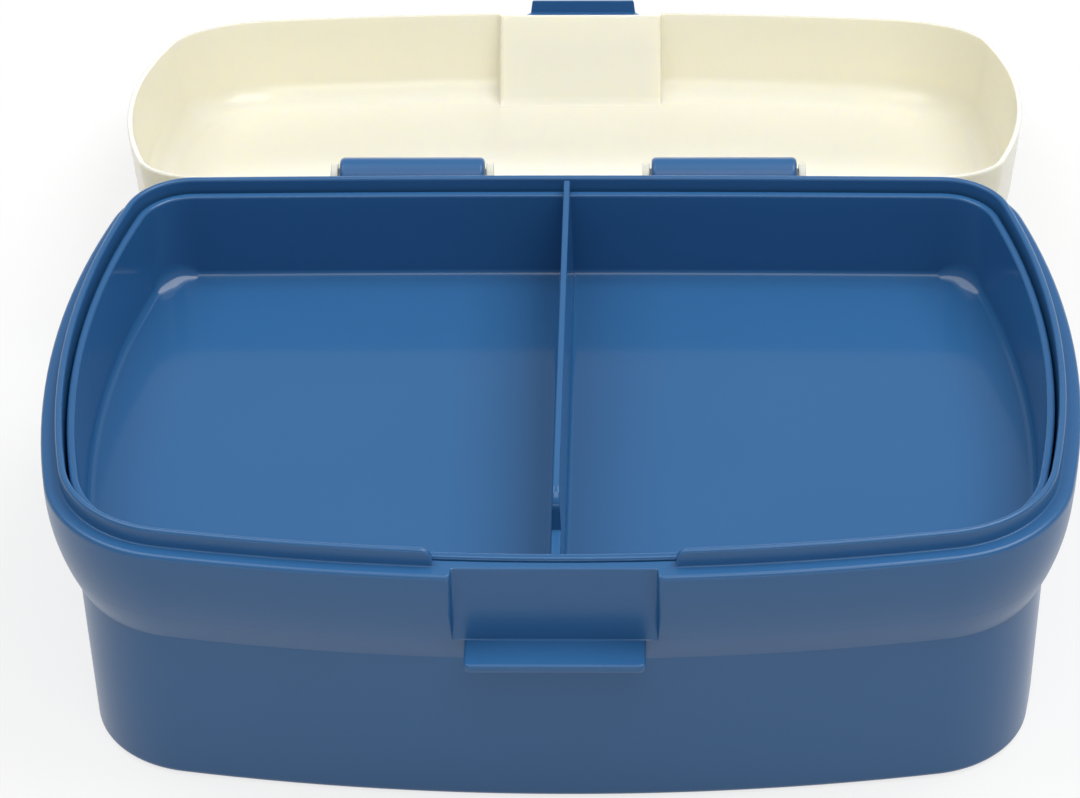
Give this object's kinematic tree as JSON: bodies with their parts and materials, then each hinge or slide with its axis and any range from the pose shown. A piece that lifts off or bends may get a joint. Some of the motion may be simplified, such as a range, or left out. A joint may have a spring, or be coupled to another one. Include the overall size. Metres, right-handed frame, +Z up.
{
  "type": "lunch box",
  "caption": "Moulded lunch box with a hinged lid lying open, a swinging front clip and a lift-out tray parted by a low divider.",
  "frame": {"origin": "middle of the base's flat bottom face, under the middle of the rim's outline", "axes": "+X across the front to the right, +Y from the front towards the hinge, +Z up"},
  "size_m": [0.2, 0.2975, 0.0617],
  "materials": {
    "base_plastic": "semi-gloss moulded blue",
    "tray_plastic": "semi-gloss moulded blue",
    "lid_plastic": "semi-gloss moulded cream",
    "clip_plastic": "semi-gloss moulded blue"
  },
  "bodies": {
    "base": {"base": "base_plastic"},
    "tray": {"tray": "tray_plastic"},
    "lid": {"lid": "lid_plastic"},
    "clip": {"clip": "clip_plastic"}
  },
  "joints": [
    {"name": "lid_hinge", "type": "hinge", "parent": "base", "child": "lid", "pos_m": [0, 0.0705, 0.0562], "axis": [1, 0, 0], "range_deg": [0, 195.4]},
    {"name": "clip_hinge", "type": "hinge", "parent": "lid", "child": "clip", "pos_m": [0, 0.19666, 0.01077], "axis": [1, 0, 0], "range_deg": [0, 71]},
    {"name": "tray_lift", "type": "slide", "parent": "base", "child": "tray", "axis": [0, 0, 1], "range_m": [0, 0.06]}
  ]
}
